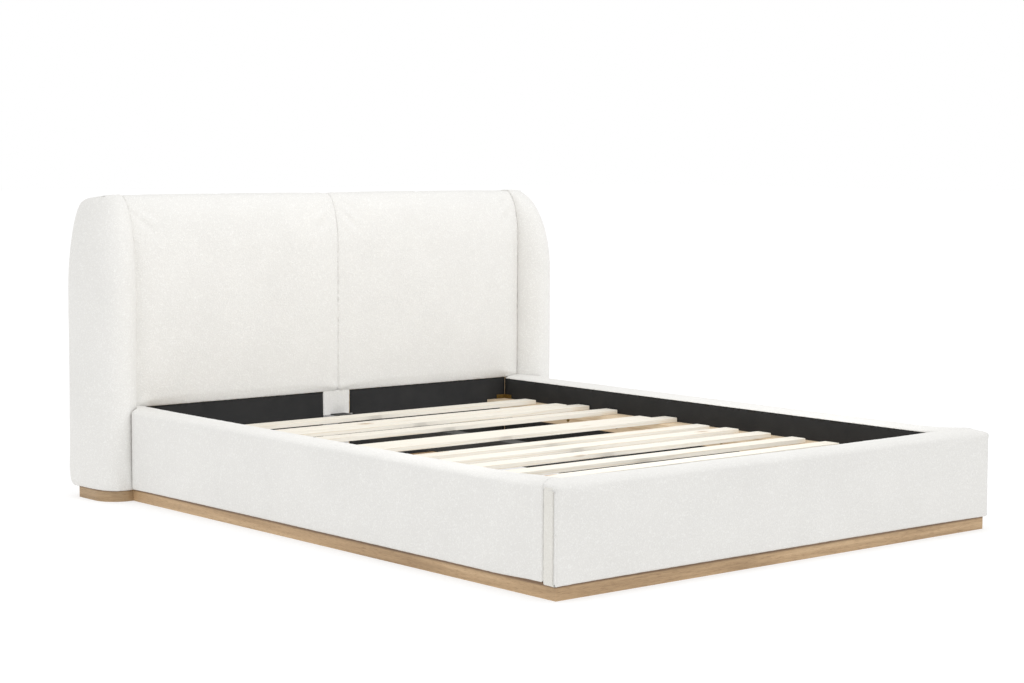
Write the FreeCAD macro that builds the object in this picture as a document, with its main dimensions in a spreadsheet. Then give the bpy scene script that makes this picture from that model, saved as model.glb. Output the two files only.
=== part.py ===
import FreeCAD, Part
import os
import re
import Sketcher

# Upholstered bed frame with a bolster-edged headboard, a mattress recess and an oak plinth.
# Millimetres. +X is to the right when looking from the foot to the head, +Y is towards the
# headboard, +Z is up. The origin is on the floor, under the middle of the whole bed.

SIZES = [
    ("recess_width", 1550, "between the two side linings"),
    ("recess_length", 2050, "from the foot lining to the head linings"),
    ("rail_thickness", 110, "side and foot rails over their padding"),
    ("rail_top", 303, "rail top above the floor"),
    ("plinth_height", 42, "oak plinth, and underside of the upholstery"),
    ("plinth_inset", 12, "plinth face behind the fabric"),
    ("plinth_board", 25, "plinth board thickness"),
    ("padding", 25, "foam and fabric on the outside of a rail"),
    ("top_padding", 14, "foam and fabric on top of a rail"),
    ("rail_edge", 20, "rounding of a rail's upper outer edge"),
    ("hem_edge", 10, "rounding of a rail's lower outer edge"),
    ("rail_board", 18, "timber wall of a rail core"),
    ("lining", 3, "black inner lining"),
    ("corner_strip", 52, "fabric strip round the end of the foot rail"),
    ("strip_padding", 15, "thickness of that strip"),
    ("headboard_width", 1980, "over both wings"),
    ("headboard_top", 992, "top of the headboard above the floor"),
    ("headboard_behind", 160, "back of the headboard behind the head linings"),
    ("wing_forward", 90, "front of a wing ahead of the head linings"),
    ("pad_bottom", 294, "underside of the pads, and top of the head linings"),
    ("pad_forward", 15, "front of the pads ahead of the head linings"),
    ("pad_width", 830, "from the centre seam to a wing seam"),
    ("pad_roll", 60, "rounding of the pads' upper front edge"),
    ("wing_corner", 150, "upper corner of a wing, seen from the front"),
    ("wing_roll", 85, "rolled front edge of a wing"),
    ("wing_seam_roll", 15, "rounding of a wing beside its seam"),
    ("back_roll", 38, "rounding along the back of the headboard"),
    ("notch_clearance", 1, "room round a rail end in a wing"),
    ("board", 12, "plywood of the headboard"),
    ("back_cloth", 4, "padded cloth on the back of the headboard"),
    ("post_width", 90, "headboard post"),
    ("post_gap", 20, "from the wing seam to the post"),
    ("frame_rail", 30, "timber of the headboard's cross rails"),
    ("frame_top", 870, "top of the headboard's timber frame"),
    ("middle_rail_height", 560, "underside of the middle cross rail"),
    ("centre_post", 50, "width of the post behind the centre seam"),
    ("centre_strip", 114, "fabric between the two head linings"),
    ("foot_plinth_front", 14, "wing plinth behind the wing's fabric"),
    ("wing_plinth_side", 22, "wing plinth inside the wing's outer side"),
    ("wing_plinth_back", 55, "wing plinth ahead of the headboard's back"),
    ("wing_plinth_curve", 80, "rounded front outer corner of the wing plinth"),
    ("wing_plinth_inner_curve", 30, "rounded front inner corner of the wing plinth"),
    ("ledge_top", 215, "what the slats lie on"),
    ("ledge_width", 85, "slat ledge"),
    ("ledge_board", 24, "thickness of the slat ledge"),
    ("ledge_drop", 65, "full height of the slat ledge with its screwed leg"),
    ("slat_length", 1475, "pine slat"),
    ("slat_width", 60, "pine slat"),
    ("slat_thickness", 15, "pine slat"),
    ("slat_edge", 2, "eased edge of a slat"),
    ("slat_clearance", 0.3, "between a slat and what it lies on"),
    ("beam_width", 60, "centre beam"),
    ("beam_height", 70, "centre beam"),
    ("hanger_sheet", 3, "steel of the beam hangers and corner brackets"),
    ("hanger_depth", 45, "length of beam held by a hanger"),
    ("hanger_flange", 30, "screwed flange of a hanger, each side"),
    ("leg_width", 50, "centre leg, square"),
    ("leg_bottom", 20, "underside of a centre leg"),
    ("leg_from_middle", 340, "centre leg from the middle of the recess"),
    ("foot_radius", 25, "levelling foot"),
    ("foot_height", 10, "levelling foot's disc"),
    ("stem_radius", 5, "levelling foot's screw"),
    ("stem_length", 40, "levelling foot's screw above its disc"),
    ("stem_clearance", 0.1, "round the screw in its leg"),
    ("bracket_leg", 40, "corner bracket, along each rail"),
    ("bracket_height", 14, "corner bracket"),
    ("bracket_lift", 1, "corner bracket above the ledge"),
    ("screw_radius", 3, "wood screw"),
    ("screw_head", 6, "radius of a screw's head"),
    ("screw_head_height", 3, "height of a screw's head"),
    ("screw_length", 20, "short wood screw below its head"),
    ("ledge_screw_length", 42, "long wood screw below its head"),
]

# Each loose slat's middle, measured from the head linings, and how far it has slid to the right.
SLATS = [
    (198, -6), (374, -12), (445, 33), (600, 25), (828, -30), (891, 33), (1112, -33),
    (1234, -20), (1371, -12), (1531, -22), (1674, -22), (1832, 8), (1985, -12),
]

# Planes of the bed, as expressions of the sizes.
INNER = "recess_width / 2"
OUTER = "(recess_width / 2 + rail_thickness)"
LINING_Y = "((recess_length + rail_thickness - headboard_behind) / 2)"
FOOT_Y = f"({LINING_Y} - recess_length)"
FOOT_FACE_Y = f"({FOOT_Y} - rail_thickness)"
RAIL_END_Y = f"({FOOT_FACE_Y} + corner_strip)"
BACK_Y = f"({LINING_Y} + headboard_behind)"
PAD_Y = f"({LINING_Y} - pad_forward)"
FRONT_BOARD_Y = f"({LINING_Y} + lining)"
FRAME_Y = f"({FRONT_BOARD_Y} + board)"
BACK_BOARD_Y = f"({BACK_Y} - back_cloth - board)"
HALF_WIDTH = "(headboard_width / 2)"
CORE_OUTER = f"({OUTER} - padding)"
CORE_TOP = "(rail_top - top_padding)"

doc = FreeCAD.newDocument("bed")
sheet = doc.addObject("Spreadsheet::Sheet", "sizes")
nodes = []


def fill_sheet(rows):
    for line, (alias, value, note) in enumerate(rows, 1):
        sheet.set(f"A{line}", alias)
        sheet.set(f"B{line}", str(value))
        sheet.setAlias(f"B{line}", alias)
        sheet.set(f"C{line}", note)


def bound(text):
    """An expression in which each size is named on the sheet."""
    return re.sub(r"\b([a-z][a-z0-9_]*)\b", r"sizes.\1", str(text))


def bind(piece, prop, text):
    piece.setExpression(prop, bound(text))


def place(piece, x=0, y=0, z=0):
    for axis, text in zip("xyz", (x, y, z)):
        bind(piece, f"Placement.Base.{axis}", text)


def keep(piece, name):
    """Makes a finished object one of the bed's own sub-parts."""
    piece.Label = name
    nodes.append(piece)
    return piece


def box(name, x_range, y_range, z_range):
    """A straight board between pairs of planes."""
    piece = doc.addObject("Part::Box", name)
    ranges = (x_range, y_range, z_range)
    for prop, (low, high) in zip(("Length", "Width", "Height"), ranges):
        bind(piece, prop, f"({high}) - ({low})")
    place(piece, x_range[0], y_range[0], z_range[0])
    return piece


def cylinder(name, radius, height, x, y, z, direction=(0, 0, 1)):
    piece = doc.addObject("Part::Cylinder", name)
    bind(piece, "Radius", radius)
    bind(piece, "Height", height)
    turn = FreeCAD.Rotation(FreeCAD.Vector(0, 0, 1), FreeCAD.Vector(*direction))
    piece.Placement = FreeCAD.Placement(FreeCAD.Vector(), turn)
    place(piece, x, y, z)
    return piece


def cut(name, base, tool):
    piece = doc.addObject("Part::Cut", name)
    piece.Base = base
    piece.Tool = tool
    return piece


def fuse(name, pieces):
    piece = doc.addObject("Part::MultiFuse", name)
    piece.Shapes = pieces
    return piece


def mirror(name, source, normal=(1, 0, 0), y=0):
    """The same piece on the other side of the bed, or at its other end."""
    piece = doc.addObject("Part::Mirroring", name)
    piece.Source = source
    piece.Normal = FreeCAD.Vector(*normal)
    bind(piece, "Base.y", y)
    return piece


def both_sides(name, source):
    keep(source, f"{name}_right")
    keep(mirror(f"{name}_left", source), f"{name}_left")


def origin_plane(body, role):
    return next(plane for plane in body.Origin.OriginFeatures if plane.Role == role)


def prism(name, role, corners, length):
    """A body padded from a straight-sided outline whose corners are pairs of expressions."""
    body = doc.addObject("PartDesign::Body", name)
    sketch = body.newObject("Sketcher::SketchObject", f"{name}_outline")
    sketch.AttachmentSupport = [(origin_plane(body, role), "")]
    sketch.MapMode = "FlatFace"
    count = len(corners)
    for index in range(count):
        turn = 0.7 * index
        start = FreeCAD.Vector(100 * turn, 100 * turn * turn, 0)
        sketch.addGeometry(Part.LineSegment(start, start + FreeCAD.Vector(50, 90, 0)), False)
    for index, (across, up) in enumerate(corners):
        before = (index - 1) % count
        sketch.addConstraint(Sketcher.Constraint("Coincident", before, 2, index, 1))
        for kind, text in (("DistanceX", across), ("DistanceY", up)):
            constraint = sketch.addConstraint(Sketcher.Constraint(kind, -1, 1, index, 1, 10.0))
            sketch.setExpression(f"Constraints[{constraint}]", bound(text))
    pad = body.newObject("PartDesign::Pad", f"{name}_pad")
    pad.Profile = sketch
    bind(pad, "Length", length)
    doc.recompute()
    return body


def round_edges(body, radius, *tests):
    """Rounds the body's edges whose middle and direction pass one of the tests."""
    base = body.Tip
    chosen = []
    for number, edge in enumerate(base.Shape.Edges, 1):
        middle = edge.valueAt((edge.FirstParameter + edge.LastParameter) / 2)
        along = edge.tangentAt((edge.FirstParameter + edge.LastParameter) / 2)
        if any(test(middle, along) for test in tests):
            chosen.append(f"Edge{number}")
    rounding = body.newObject("PartDesign::Fillet", f"{body.Name}_round")
    rounding.Base = (base, chosen)
    bind(rounding, "Radius", radius)
    doc.recompute()
    return body


def value(text):
    """The present value of an expression of the sizes, in millimetres."""
    return float(sheet.evalExpression(bound(text)))


def near(a, b):
    return abs(a - b) < 0.01


def headboard_pads():
    """Foam pads on the front and over the top of the headboard, either side of its centre seam."""
    front = PAD_Y
    profile = [
        (front, "pad_bottom"), (front, "headboard_top"), (BACK_Y, "headboard_top"),
        (BACK_Y, "frame_top"), (FRONT_BOARD_Y, "frame_top"), (FRONT_BOARD_Y, "pad_bottom"),
    ]
    body = prism("pad", "YZ_Plane", profile, "pad_width")
    top = value("headboard_top")
    front_y = value(front)
    round_edges(body, "pad_roll", lambda p, d: near(p.z, top) and near(p.y, front_y))
    back_y = value(BACK_Y)
    round_edges(body, "back_roll", lambda p, d: near(p.z, top) and near(p.y, back_y))
    both_sides("headboard_front_pad", body)


def headboard_wings():
    """Bolster-like ends of the headboard, notched for the side rails and hollow for the posts."""
    profile = [
        ("pad_width", "plinth_height"), (HALF_WIDTH, "plinth_height"),
        (HALF_WIDTH, "headboard_top"), ("pad_width", "headboard_top"),
    ]
    depth = "headboard_behind + wing_forward"
    body = prism("wing", "XZ_Plane", profile, depth)
    outer = value(HALF_WIDTH)
    inner = value("pad_width")
    top = value("headboard_top")
    front = -value(depth)
    round_edges(body, "wing_corner", lambda p, d: near(p.x, outer) and near(p.z, top))
    round_edges(body, "wing_roll", lambda p, d: near(p.y, front) and near(p.x, outer))
    round_edges(body, "back_roll", lambda p, d: near(p.y, 0) and near(p.x, outer))
    round_edges(body, "wing_seam_roll", lambda p, d: near(p.y, front) and near(p.x, inner))
    place(body, 0, BACK_Y, 0)
    bottom = "plinth_height - notch_clearance"
    rail_notch = box(
        "rail_notch", ("pad_width - notch_clearance", f"{OUTER} + notch_clearance"),
        (f"{LINING_Y} - 2 * wing_forward", PAD_Y), (bottom, "rail_top + notch_clearance"),
    )
    post_space = box(
        "post_space", ("pad_width - notch_clearance", "pad_width + post_gap + post_width"),
        (FRAME_Y, BACK_BOARD_Y), (bottom, "frame_top"),
    )
    boards_space = box(
        "boards_space", ("pad_width - notch_clearance", "pad_width + post_gap"),
        (PAD_Y, FRAME_Y), (bottom, "rail_top + notch_clearance"),
    )
    hollow = fuse("wing_hollow", [rail_notch, post_space, boards_space])
    both_sides("headboard_wing", cut("wing_shell", body, hollow))


def headboard_frame():
    """Timber frame and boards inside the headboard's upholstery."""
    post_inner = "pad_width + post_gap"
    depth = (FRAME_Y, BACK_BOARD_Y)
    post = box("post", (post_inner, f"{post_inner} + post_width"), depth,
               ("plinth_height", "frame_top"))
    both_sides("headboard_post", post)
    rails = [
        ("headboard_top_rail", "frame_top - frame_rail"),
        ("headboard_middle_rail", "middle_rail_height"),
        ("headboard_bottom_rail", "plinth_height"),
    ]
    for name, low in rails:
        span = (f"-({post_inner})", post_inner)
        keep(box(name, span, depth, (low, f"{low} + frame_rail")), name)
    upright = box("upright", ("-centre_post / 2", "centre_post / 2"), depth,
                  ("plinth_height + frame_rail", "frame_top - frame_rail"))
    gap = box("upright_housing", ("-centre_post", "centre_post"), depth,
              ("middle_rail_height", "middle_rail_height + frame_rail"))
    keep(cut("housed_upright", upright, gap), "headboard_centre_post")
    board_span = ("-pad_width", "pad_width")
    board_height = ("plinth_height", "frame_top")
    front = box("front_board", board_span, (FRONT_BOARD_Y, FRAME_Y), board_height)
    back = box("back_board", board_span, (BACK_BOARD_Y, f"{BACK_Y} - back_cloth"), board_height)
    cover = box("back_cover", board_span, (f"{BACK_Y} - back_cloth", BACK_Y), board_height)
    keep(front, "headboard_front_board")
    keep(back, "headboard_back_board")
    keep(cover, "headboard_back_cover")


def head_linings():
    """Black lining on the headboard inside the recess, with a strip of fabric between."""
    height = ("plinth_height", "pad_bottom")
    lining = box("head_lining", ("centre_strip / 2", INNER),
                 (LINING_Y, FRONT_BOARD_Y), height)
    both_sides("head_lining", lining)
    strip = box("centre_strip", ("-centre_strip / 2", "centre_strip / 2"),
                (f"{LINING_Y} - lining", FRONT_BOARD_Y), height)
    keep(strip, "head_centre_strip")


def headboard_plinth():
    """Round-cornered oak blocks under the wings and a board between them at the back."""
    inner = f"({OUTER} - plinth_inset - plinth_board)"
    outer = f"({HALF_WIDTH} - wing_plinth_side)"
    front = f"({LINING_Y} - wing_forward + foot_plinth_front)"
    back = f"({BACK_Y} - wing_plinth_back)"
    corners = [(inner, front), (outer, front), (outer, back), (inner, back)]
    body = prism("wing_plinth", "XY_Plane", corners, "plinth_height")
    front_y = value(front)
    outer_x = value(outer)
    inner_x = value(inner)
    round_edges(body, "wing_plinth_curve",
                lambda p, d: near(p.y, front_y) and near(p.x, outer_x))
    round_edges(body, "wing_plinth_inner_curve",
                lambda p, d: near(p.y, front_y) and near(p.x, inner_x))
    both_sides("headboard_plinth", body)
    keep(box("plinth_back", (f"-{inner}", inner), (f"{back} - plinth_board", back),
             ("0", "plinth_height")), "headboard_plinth_back")


def rail_section(outside, inside, top_inside):
    """Upholstery of a rail: down its outer side and over its top."""
    return [
        (outside, "plinth_height"), (outside, "rail_top"), (top_inside, "rail_top"),
        (top_inside, CORE_TOP), (inside, CORE_TOP), (inside, "plinth_height"),
    ]


def core_section(outside, inside):
    """Timber core of a rail: two walls and a top board, open below."""
    return [
        (outside, "plinth_height"), (outside, CORE_TOP), (inside, CORE_TOP),
        (inside, "plinth_height"), (f"{inside} + rail_board", "plinth_height"),
        (f"{inside} + rail_board", f"{CORE_TOP} - rail_board"),
        (f"{outside} - rail_board", f"{CORE_TOP} - rail_board"),
        (f"{outside} - rail_board", "plinth_height"),
    ]


def side_rails():
    length = f"{PAD_Y} - {RAIL_END_Y}"
    outer_x = value(OUTER)
    inner_x = value(INNER)
    top = value("rail_top")
    hem = value("plinth_height")
    cover = prism("side_cover", "XZ_Plane", rail_section(OUTER, CORE_OUTER, INNER), length)
    place(cover, 0, PAD_Y, 0)
    round_edges(cover, "rail_edge", lambda p, d: near(p.x, outer_x) and near(p.z, top))
    round_edges(cover, "hem_edge",
                lambda p, d: near(p.x, outer_x) and near(p.z, hem) and near(abs(d.y), 1),
                lambda p, d: near(p.x, inner_x) and near(p.z, top) and near(abs(d.y), 1))
    both_sides("side_rail_cover", cover)
    core = prism("side_core", "XZ_Plane", core_section(CORE_OUTER, f"({INNER} + lining)"), length)
    place(core, 0, PAD_Y, 0)
    both_sides("side_rail_core", core)
    lining = box("side_lining", (INNER, f"{INNER} + lining"), (FOOT_Y, LINING_Y),
                 ("plinth_height", CORE_TOP))
    both_sides("side_rail_lining", lining)


def foot_rail():
    """The foot rail runs the bed's full width, and its ends show beside the side rails."""
    face_x = f"({OUTER} - strip_padding)"
    core_front = f"({FOOT_FACE_Y} + padding)"
    core_back = f"({FOOT_Y} - lining)"
    front_y = value(FOOT_FACE_Y)
    top = value("rail_top")
    hem = value("plinth_height")
    section = [
        (FOOT_FACE_Y, "plinth_height"), (FOOT_FACE_Y, "rail_top"), (RAIL_END_Y, "rail_top"),
        (RAIL_END_Y, CORE_TOP), (core_front, CORE_TOP), (core_front, "plinth_height"),
    ]
    face = prism("foot_face", "YZ_Plane", section, f"2 * {face_x}")
    place(face, f"-{face_x}")
    round_edges(face, "rail_edge", lambda p, d: near(p.y, front_y) and near(p.z, top))
    round_edges(face, "hem_edge", lambda p, d: near(p.y, front_y) and near(p.z, hem))
    cap = box("foot_cap", (f"-{INNER}", INNER), (RAIL_END_Y, FOOT_Y), (CORE_TOP, "rail_top"))
    keep(fuse("foot_cover", [face, cap]), "foot_rail_cover")
    outside = [
        (core_back, "plinth_height"), (core_back, CORE_TOP), (core_front, CORE_TOP),
        (core_front, "plinth_height"), (f"{core_front} + rail_board", "plinth_height"),
        (f"{core_front} + rail_board", f"{CORE_TOP} - rail_board"),
        (f"{core_back} - rail_board", f"{CORE_TOP} - rail_board"),
        (f"{core_back} - rail_board", "plinth_height"),
    ]
    core = prism("foot_core", "YZ_Plane", outside, f"2 * {INNER}")
    place(core, f"-{INNER}")
    wall = box("foot_wall", (f"-{face_x}", face_x), (core_front, f"{core_front} + rail_board"),
               ("plinth_height", CORE_TOP))
    keep(fuse("foot_timber", [core, wall]), "foot_rail_core")
    keep(box("foot_lining", (f"-{INNER}", INNER), (core_back, FOOT_Y),
             ("plinth_height", CORE_TOP)), "foot_rail_lining")
    strip = box("corner_strip", (face_x, OUTER), (FOOT_FACE_Y, RAIL_END_Y),
                ("plinth_height", "rail_top"))
    both_sides("foot_corner_strip", strip)


def rail_plinth():
    """Oak boards under the rails, mitred at the foot corners."""
    outer = f"({OUTER} - plinth_inset)"
    inner = f"({outer} - plinth_board)"
    front = f"({FOOT_FACE_Y} + plinth_inset)"
    back = f"({front} + plinth_board)"
    head = f"({LINING_Y} - wing_forward + foot_plinth_front)"
    side = prism("side_plinth", "XY_Plane",
                 [(outer, front), (outer, head), (inner, head), (inner, back)], "plinth_height")
    both_sides("side_plinth", side)
    foot = prism("foot_plinth", "XY_Plane",
                 [(f"-{outer}", front), (outer, front), (inner, back), (f"-{inner}", back)],
                 "plinth_height")
    keep(foot, "foot_plinth")


def slat_ledges():
    """Pine ledges screwed along the side rails, which carry the ends of the slats."""
    low = "(ledge_top - ledge_drop)"
    under = "(ledge_top - ledge_board)"
    section = [
        (INNER, low), (INNER, "ledge_top"), (f"{INNER} - ledge_width", "ledge_top"),
        (f"{INNER} - ledge_width", under), (f"{INNER} - ledge_board", under),
        (f"{INNER} - ledge_board", low),
    ]
    ledge = prism("ledge", "XZ_Plane", section, f"{LINING_Y} - ({FOOT_Y})")
    place(ledge, 0, LINING_Y, 0)
    both_sides("slat_ledge", ledge)


def slats():
    """Loose pine slats with eased edges, each with its own place along the bed."""
    section_half = "slat_width / 2"
    section = [
        (f"-{section_half}", "0"), (section_half, "0"),
        (section_half, "slat_thickness"), (f"-{section_half}", "slat_thickness"),
    ]
    for number in range(1, len(SLATS) + 1):
        name = f"slat_{number:02d}"
        body = prism(name, "YZ_Plane", section, "slat_length")
        round_edges(body, "slat_edge", lambda p, d: near(abs(d.x), 1))
        place(body, f"{name}_to_right - slat_length / 2",
              f"{LINING_Y} - {name}_from_head", "ledge_top + slat_clearance")
        keep(body, name)


def hanger_holes():
    """Where the screws of the head hanger go: two through each of its flanges."""
    across = "(beam_width / 2 + hanger_sheet + hanger_flange / 2)"
    return [(f"{sign}{across}", f"ledge_top - {part} * beam_height")
            for sign in ("", "-") for part in ("0.3", "0.7")]


def beam_hanger(name):
    """A folded steel shoe for an end of the centre beam, with a screwed flange on each side."""
    half = "beam_width / 2"
    low = "(ledge_top - beam_height - hanger_sheet)"
    high = "(ledge_top - hanger_sheet)"
    wall = f"({half} + hanger_sheet)"
    depth = (f"{LINING_Y} - lining - hanger_depth", f"{LINING_Y} - lining")
    flange = (f"{LINING_Y} - lining - hanger_sheet", f"{LINING_Y} - lining")
    shoe = box(f"{name}_shoe", (f"-{wall}", wall), depth, (low, high))
    space = box(f"{name}_space", (f"-{half}", half),
                (f"{LINING_Y} - 2 * hanger_depth", LINING_Y),
                ("ledge_top - beam_height", "ledge_top"))
    wings = box(f"{name}_flange", (f"-{wall} - hanger_flange", f"{wall} + hanger_flange"),
                flange, (low, high))
    drilled = [
        cylinder(f"{name}_hole{number}", "screw_radius + stem_clearance", "hanger_depth",
                 x, f"{LINING_Y} - hanger_depth", z, (0, 1, 0))
        for number, (x, z) in enumerate(hanger_holes())
    ]
    return cut(name, fuse(f"{name}_folded", [shoe, wings]),
               fuse(f"{name}_openings", [space] + drilled))


def centre_beam():
    """The beam under the middle of the slats, in a hanger at each end, on two legs."""
    middle = f"(({LINING_Y} + {FOOT_Y}) / 2 - lining / 2)"
    half = "beam_width / 2"
    low = "(ledge_top - beam_height)"
    keep(box("beam", (f"-{half}", half), (FOOT_Y, f"{LINING_Y} - lining"),
             (low, "ledge_top")), "centre_beam")
    head = keep(beam_hanger("hanger"), "beam_hanger_head")
    keep(mirror("hanger_foot", head, (0, 1, 0), middle), "beam_hanger_foot")
    side = "leg_width / 2"
    for end, sign in (("head", "+"), ("foot", "-")):
        leg_y = f"({middle} {sign} leg_from_middle)"
        post = box(f"leg_{end}", (f"-{side}", side), (f"{leg_y} - {side}", f"{leg_y} + {side}"),
                   ("leg_bottom", low))
        bore = cylinder(f"leg_bore_{end}", "stem_radius + stem_clearance",
                        "stem_length + foot_height", 0, leg_y, "foot_height")
        keep(cut(f"leg_bored_{end}", post, bore), f"centre_leg_{end}")
        disc = cylinder(f"disc_{end}", "foot_radius", "foot_height", 0, leg_y, 0)
        nut = doc.addObject("Part::Prism", f"nut_{end}")
        nut.Polygon = 6
        bind(nut, "Circumradius", "2 * stem_radius")
        bind(nut, "Height", "leg_bottom - foot_height - slat_clearance")
        place(nut, 0, leg_y, "foot_height")
        stem = cylinder(f"stem_{end}", "stem_radius", "stem_length", 0, leg_y, "foot_height")
        keep(fuse(f"levelling_{end}", [disc, nut, stem]), f"levelling_foot_{end}")


def screw(name, x, y, z, direction, length="screw_length"):
    """A wood screw whose head's underside is at the point and whose shank runs along direction."""
    back = tuple(-part for part in direction)
    head = cylinder(f"{name}_head", "screw_head", "screw_head_height", x, y, z, back)
    shank = cylinder(f"{name}_shank", "screw_radius", length, x, y, z, direction)
    return fuse(name, [head, shank])


def group(name, pieces):
    piece = doc.addObject("Part::Compound", f"{name}_group")
    piece.Links = pieces
    return keep(piece, name)


def corner_brackets():
    """Zinc-plated angles in the four corners of the recess, with their screws."""
    low = "(ledge_top + bracket_lift)"
    high = f"({low} + bracket_height)"
    middle_z = f"({low} + bracket_height / 2)"
    corner = (INNER, LINING_Y)
    plan = [
        corner, (f"{INNER} - bracket_leg", LINING_Y),
        (f"{INNER} - bracket_leg", f"{LINING_Y} - hanger_sheet"),
        (f"{INNER} - hanger_sheet", f"{LINING_Y} - hanger_sheet"),
        (f"{INNER} - hanger_sheet", f"{LINING_Y} - bracket_leg"),
        (INNER, f"{LINING_Y} - bracket_leg"),
    ]
    angle = prism("angle", "XY_Plane", plan, "bracket_height")
    place(angle, 0, 0, low)
    holes = []
    screws = []
    for number, part in enumerate(("0.4", "0.8"), 1):
        along_x = f"{INNER} - {part} * bracket_leg"
        along_y = f"{LINING_Y} - {part} * bracket_leg"
        inside_y = f"{LINING_Y} - hanger_sheet"
        inside_x = f"{INNER} - hanger_sheet"
        hole_radius = "screw_radius + stem_clearance"
        holes.append(cylinder(f"hole_x{number}", hole_radius, "bracket_height",
                              along_x, f"{LINING_Y} - bracket_height / 2", middle_z, (0, 1, 0)))
        holes.append(cylinder(f"hole_y{number}", hole_radius, "bracket_height",
                              f"{INNER} - bracket_height / 2", along_y, middle_z, (1, 0, 0)))
        screws.append(screw(f"to_head{number}", along_x, inside_y, middle_z, (0, 1, 0)))
        screws.append(screw(f"to_rail{number}", inside_x, along_y, middle_z, (1, 0, 0)))
    bracket = cut("bracket", angle, fuse("bracket_holes", holes))
    fixings = doc.addObject("Part::Compound", "corner_fixings")
    fixings.Links = screws
    middle_y = f"(({LINING_Y} + {FOOT_Y}) / 2)"
    for name, first in (("corner_brackets", bracket), ("bracket_screws", fixings)):
        at_head = [first, mirror(f"{name}_across", first)]
        at_foot = [mirror(f"{name}_foot{number}", piece, (0, 1, 0), middle_y)
                   for number, piece in enumerate(at_head)]
        group(name, at_head + at_foot)


def frame_screws():
    """Screws that hold the ledges to the rails and the beam hangers to the two ends."""
    per_side = 8
    height = "ledge_top - ledge_drop / 2 - ledge_board / 2"
    first = []
    for number in range(per_side):
        share = (number + 0.5) / per_side
        y = f"{FOOT_Y} + {share} * recess_length"
        first.append(screw(f"ledge_screw{number}", f"{INNER} - ledge_board", y, height,
                           (1, 0, 0), "ledge_screw_length"))
    side = doc.addObject("Part::Compound", "ledge_screw_row")
    side.Links = first
    group("ledge_screws", [side, mirror("ledge_screw_row_left", side)])
    face = f"{LINING_Y} - lining - hanger_sheet"
    at_head = [screw(f"hanger_screw{number}", x, face, z, (0, 1, 0))
               for number, (x, z) in enumerate(hanger_holes())]
    head = doc.addObject("Part::Compound", "hanger_screw_head")
    head.Links = at_head
    middle = f"(({LINING_Y} + {FOOT_Y}) / 2 - lining / 2)"
    group("hanger_screws", [head, mirror("hanger_screw_foot", head, (0, 1, 0), middle)])


def check_and_write():
    doc.recompute()
    for piece in doc.Objects:
        if "Invalid" in piece.State or "Error" in piece.State:
            raise SystemExit(f"{piece.Label} failed: {piece.State}")
    os.makedirs("parts", exist_ok=True)
    for piece in nodes:
        shape = piece.Shape
        if shape.isNull() or not shape.isValid():
            raise SystemExit(f"{piece.Label} has no valid shape")
        if not shape.Solids:
            raise SystemExit(f"{piece.Label} has no solid")
        shape.exportStep(f"parts/{piece.Label}.step")
    print(f"{len(nodes)} sub-parts written")


slat_cells = []
for slat_number, (from_head, to_right) in enumerate(SLATS, 1):
    slat_cells.append((f"slat_{slat_number:02d}_from_head", from_head, "middle of the slat"))
    slat_cells.append((f"slat_{slat_number:02d}_to_right", to_right, "slat slid to the right"))
fill_sheet(SIZES + slat_cells)
doc.recompute()

headboard_pads()
headboard_wings()
headboard_frame()
head_linings()
headboard_plinth()
side_rails()
foot_rail()
rail_plinth()
slat_ledges()
slats()
centre_beam()
corner_brackets()
frame_screws()
check_and_write()
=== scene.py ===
import math

import bpy
import numpy as np
from mathutils import Matrix, Vector, noise


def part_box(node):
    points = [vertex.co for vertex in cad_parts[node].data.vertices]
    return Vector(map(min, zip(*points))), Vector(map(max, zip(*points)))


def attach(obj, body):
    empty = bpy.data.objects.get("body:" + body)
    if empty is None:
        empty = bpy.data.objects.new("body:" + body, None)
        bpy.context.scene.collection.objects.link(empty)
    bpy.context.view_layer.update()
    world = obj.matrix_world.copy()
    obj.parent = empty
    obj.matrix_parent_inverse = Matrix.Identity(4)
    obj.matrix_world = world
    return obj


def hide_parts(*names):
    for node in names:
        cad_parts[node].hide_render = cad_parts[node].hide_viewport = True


# An upholstered bed frame: foam pads under boucle, an oak plinth, and loose pine slats.
# Metres, in the frame of the CAD model: +X to the right seen from the foot, +Y to the headboard.

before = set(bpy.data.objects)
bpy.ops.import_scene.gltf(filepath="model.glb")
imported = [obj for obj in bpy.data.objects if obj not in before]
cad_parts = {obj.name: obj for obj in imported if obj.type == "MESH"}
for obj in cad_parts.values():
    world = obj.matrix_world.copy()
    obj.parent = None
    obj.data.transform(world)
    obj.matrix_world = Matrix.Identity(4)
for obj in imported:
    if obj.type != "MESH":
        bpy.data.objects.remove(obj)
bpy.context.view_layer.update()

# Planes of the bed, read from the CAD nodes of its right side.
pad_low, pad_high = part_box("headboard_front_pad_right")
wing_low, wing_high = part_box("headboard_wing_right")
rail_low, rail_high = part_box("side_rail_cover_right")
foot_low, foot_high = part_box("foot_rail_cover")
strip_low, strip_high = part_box("foot_corner_strip_right")
board_low, board_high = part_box("headboard_front_board")
back_low, back_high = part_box("headboard_back_cover")
head_lining_low, head_lining_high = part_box("head_lining_right")
side_lining_low, side_lining_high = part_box("side_rail_lining_right")
foot_lining_low, foot_lining_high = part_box("foot_rail_lining")
middle_low, middle_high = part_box("head_centre_strip")
side_core_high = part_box("side_rail_core_right")[1]
foot_core_low, foot_core_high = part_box("foot_rail_core")
side_plinth_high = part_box("side_plinth_right")[1]
foot_plinth_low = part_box("foot_plinth")[0]

HEM_Z = wing_low.z
RAIL_TOP = rail_high.z
TOP_Z = wing_high.z
SEAM_X = pad_high.x
BACK_Y = wing_high.y
LINING_Y = head_lining_low.y

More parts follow.
